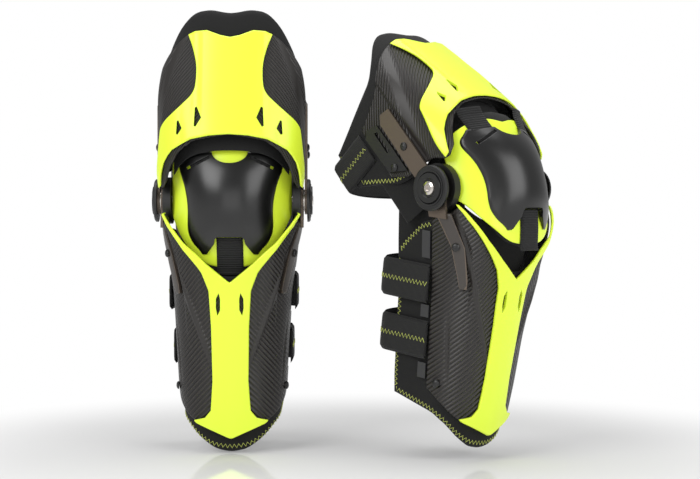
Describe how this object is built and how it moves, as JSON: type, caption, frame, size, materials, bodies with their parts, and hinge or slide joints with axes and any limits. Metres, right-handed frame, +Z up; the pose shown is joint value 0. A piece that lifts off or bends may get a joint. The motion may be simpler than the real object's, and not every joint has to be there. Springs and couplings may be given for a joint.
{
  "type": "knee guard pair",
  "caption": "Pair of hinged off-road knee and shin guards with thigh, cup and shin shells, foam liners, bronze hinge arms and leg straps.",
  "frame": {"origin": "middle of the knee axis of the straight guard", "axes": "+X across to the bent guard, -Y out of the knee of the straight guard, +Z up its thigh"},
  "size_m": [0.425, 0.2506, 0.4684],
  "materials": {
    "liner_foam": "neoprene over foam, matt, zigzag stitched",
    "carbon_look_shell": "fine diagonal ribs, satin",
    "fluorescent_plate": "fluorescent yellow, semi-gloss",
    "bronze_arm": "satin bronze-grey",
    "black_rivet": "domed, satin",
    "strap_elastic": "woven elastic with zigzag stitch",
    "ribbed_webbing": "ribbed webbing",
    "grey_plastic": "satin",
    "hinge_plastic": "satin",
    "hinge_ring": "satin",
    "steel": "polished rivet head",
    "cup_cover_black": "smooth semi-gloss, unmarked"
  },
  "bodies": {
    "shins": {"shin_liner_left": "liner_foam", "shin_shell_left": "carbon_look_shell", "shin_plate_left": "fluorescent_plate", "shin_arms_left": "bronze_arm", "shin_rivets_left": "black_rivet", "calf_strap_upper_left": "strap_elastic", "calf_strap_lower_left": "strap_elastic", "strap_flanges_left": "grey_plastic", "hinge_backings_left": "hinge_plastic", "hinge_washers_left": "steel", "hinge_covers_left": "hinge_plastic", "hinge_rings_left": "hinge_ring", "hinge_pins_left": "steel", "shin_liner_right": "liner_foam", "shin_shell_right": "carbon_look_shell", "shin_plate_right": "fluorescent_plate", "shin_arms_right": "bronze_arm", "shin_rivets_right": "black_rivet", "calf_strap_upper_right": "strap_elastic", "calf_strap_lower_right": "strap_elastic", "strap_flanges_right": "grey_plastic", "hinge_backings_right": "hinge_plastic", "hinge_washers_right": "steel", "hinge_covers_right": "hinge_plastic", "hinge_rings_right": "hinge_ring", "hinge_pins_right": "steel"},
    "cup_left": {"cup_shell_left": "fluorescent_plate", "cup_cover_left": "cup_cover_black", "knee_pad_left": "liner_foam", "cup_links_left": "hinge_plastic", "cup_strap_lower_left": "ribbed_webbing", "cup_straps_upper_left": "ribbed_webbing", "knee_side_pads_left": "liner_foam"},
    "thigh_left": {"thigh_liner_left": "liner_foam", "thigh_shell_left": "carbon_look_shell", "thigh_plate_left": "fluorescent_plate", "thigh_arms_left": "bronze_arm", "thigh_rivets_left": "black_rivet", "thigh_anchors_left": "hinge_plastic", "thigh_strap_left": "strap_elastic"},
    "cup_right": {"cup_shell_right": "fluorescent_plate", "cup_cover_right": "cup_cover_black", "knee_pad_right": "liner_foam", "cup_links_right": "hinge_plastic", "cup_strap_lower_right": "ribbed_webbing", "cup_straps_upper_right": "ribbed_webbing", "knee_side_pads_right": "liner_foam"},
    "thigh_right": {"thigh_liner_right": "liner_foam", "thigh_shell_right": "carbon_look_shell", "thigh_plate_right": "fluorescent_plate", "thigh_arms_right": "bronze_arm", "thigh_rivets_right": "black_rivet", "thigh_anchors_right": "hinge_plastic", "thigh_strap_right": "strap_elastic"}
  },
  "joints": [
    {"name": "cup_bend_left", "type": "hinge", "parent": "shins", "child": "cup_left", "pos_m": [0, 0, 0], "axis": [-1, 0, 0], "range_deg": [0, 40]},
    {"name": "knee_bend_left", "type": "hinge", "parent": "cup_left", "child": "thigh_left", "pos_m": [0, 0, 0], "axis": [-1, 0, 0], "range_deg": [0, 40]},
    {"name": "cup_bend_right", "type": "hinge", "parent": "shins", "child": "cup_right", "pos_m": [0.264, -0.076, 0.012], "axis": [-0.7071, -0.7071, 0], "range_deg": [-24.5, 15.5]},
    {"name": "knee_bend_right", "type": "hinge", "parent": "cup_right", "child": "thigh_right", "pos_m": [0.264, -0.076, 0.012], "axis": [-0.7071, -0.7071, 0], "range_deg": [-24.5, 15.5]}
  ],
  "couplings": [
    {"joint": "knee_bend_left", "follows": "cup_bend_left", "ratio": 1},
    {"joint": "knee_bend_right", "follows": "cup_bend_right", "ratio": 1}
  ]
}
